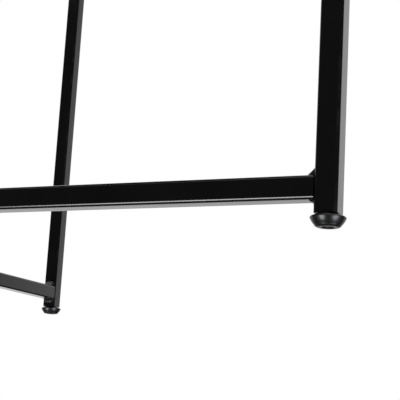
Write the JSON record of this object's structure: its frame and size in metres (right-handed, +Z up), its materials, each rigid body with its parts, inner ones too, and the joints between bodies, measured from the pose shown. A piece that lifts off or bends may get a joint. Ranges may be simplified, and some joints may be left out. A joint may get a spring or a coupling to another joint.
{
  "type": "folding side table",
  "caption": "Square tray on a crossed square-tube base whose side wings fold against its middle frame, with round glide feet.",
  "frame": {"origin": "on the floor, under the middle of the table", "axes": "+Z up, X and Y along the tray's sides, so the legs stand on the diagonals"},
  "size_m": [0.5, 0.5, 0.4774],
  "materials": {
    "frame": "satin",
    "tray": "satin",
    "foot": "satin",
    "cap": "satin",
    "eye": "satin",
    "pad": "matte",
    "pin": "satin",
    "washer": "matte"
  },
  "bodies": {
    "main_frame": {"main_leg_front": "frame", "main_leg_rear": "frame", "main_bottom_bar": "frame", "main_top_bar": "frame", "main_frame_welds": "frame", "hinge_plate_bottom_under": "frame", "hinge_plate_bottom_over": "frame", "hinge_plate_top_under": "frame", "hinge_plate_top_over": "frame", "hinge_pin_left_lower": "pin", "hinge_pin_left_upper": "pin", "hinge_pin_right_lower": "pin", "hinge_pin_right_upper": "pin", "hinge_washers": "washer", "main_foot_front": "foot", "main_foot_rear": "foot", "main_cap_front": "cap", "main_cap_rear": "cap"},
    "left_wing": {"left_wing_leg": "frame", "left_wing_bottom_bar": "frame", "left_wing_top_bar": "frame", "left_wing_welds": "frame", "left_wing_lower_eye": "eye", "left_wing_upper_eye": "eye", "left_wing_foot": "foot", "left_wing_cap": "cap", "left_wing_pad": "pad"},
    "right_wing": {"right_wing_leg": "frame", "right_wing_bottom_bar": "frame", "right_wing_top_bar": "frame", "right_wing_welds": "frame", "right_wing_lower_eye": "eye", "right_wing_upper_eye": "eye", "right_wing_foot": "foot", "right_wing_cap": "cap", "right_wing_pad": "pad"},
    "tray": {"tray_pan": "tray", "tray_sockets": "pad"}
  },
  "joints": [
    {"name": "left_wing_fold", "type": "hinge", "parent": "main_frame", "child": "left_wing", "pos_m": [-0.00848, -0.00848, 0.0159], "axis": [0, 0, 1], "range_deg": [0, 90]},
    {"name": "right_wing_fold", "type": "hinge", "parent": "main_frame", "child": "right_wing", "pos_m": [0.00848, 0.00848, 0.0159], "axis": [0, 0, 1], "range_deg": [0, 90]},
    {"name": "tray_lift", "type": "slide", "parent": "main_frame", "child": "tray", "axis": [0, 0, 1], "range_m": [0, 0.12]}
  ]
}
